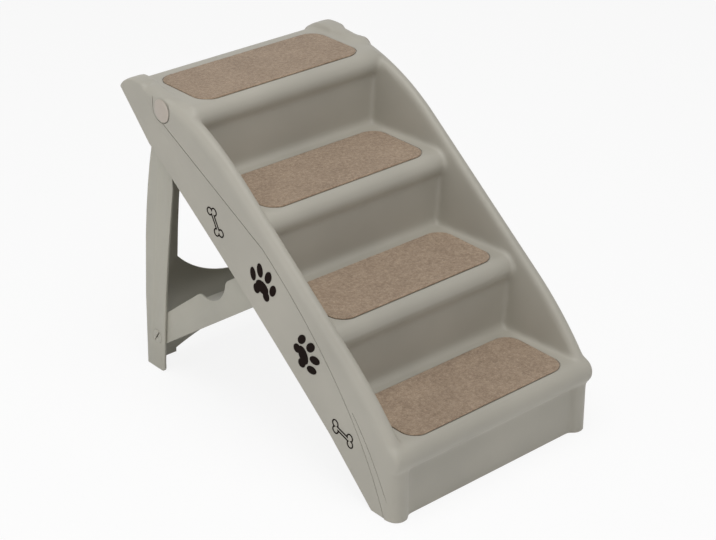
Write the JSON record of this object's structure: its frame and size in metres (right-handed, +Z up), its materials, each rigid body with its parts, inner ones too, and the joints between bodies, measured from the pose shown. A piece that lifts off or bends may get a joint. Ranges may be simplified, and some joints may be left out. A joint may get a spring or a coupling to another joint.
{
  "type": "folding pet stairs",
  "caption": "Moulded pet stairs with carpet tread mats, high side cheeks and a hinged leg frame that folds under the steps with its brace.",
  "frame": {"origin": "middle of the whole part's footprint, on the floor", "axes": "+Z up, the steps climb towards +Y, X across the width"},
  "size_m": [0.4102, 0.6537, 0.51],
  "materials": {
    "shell_plastic": "satin",
    "tread_carpet": "carpet",
    "cap_plastic": "satin",
    "washer_plastic": "satin",
    "steel": "brushed",
    "foot_rubber": "matt",
    "decal_ink": "matt"
  },
  "bodies": {
    "shell": {"stair_shell": "shell_plastic", "tread_mat_1": "tread_carpet", "tread_mat_2": "tread_carpet", "tread_mat_3": "tread_carpet", "tread_mat_4": "tread_carpet", "hinge_pin_left": "steel", "hinge_pin_right": "steel", "hinge_cap_left": "cap_plastic", "hinge_cap_right": "cap_plastic", "hinge_washer_left": "washer_plastic", "hinge_washer_right": "washer_plastic", "hinge_clip_left": "steel", "hinge_clip_right": "steel", "catch_rod_left": "steel", "catch_rod_right": "steel", "front_foot_left": "foot_rubber", "front_foot_right": "foot_rubber", "paw_decals_left": "decal_ink", "paw_decals_right": "decal_ink", "bone_decals_left": "decal_ink", "bone_decals_right": "decal_ink"},
    "leg": {"leg_frame": "shell_plastic", "rear_foot_left": "foot_rubber", "rear_foot_right": "foot_rubber"},
    "brace": {"brace_panel": "shell_plastic", "brace_stub_left": "shell_plastic", "brace_stub_right": "shell_plastic"}
  },
  "joints": [
    {"name": "leg_fold", "type": "hinge", "parent": "shell", "child": "leg", "pos_m": [0, 0.21525, 0.4813], "axis": [-1, 0, 0], "range_deg": [0, 50]},
    {"name": "brace_fold", "type": "hinge", "parent": "leg", "child": "brace", "pos_m": [0, 0.27065, 0.0633], "axis": [-1, 0, 0], "range_deg": [0, 42.5]}
  ],
  "couplings": [
    {"joint": "brace_fold", "follows": "leg_fold", "ratio": 0.85}
  ]
}
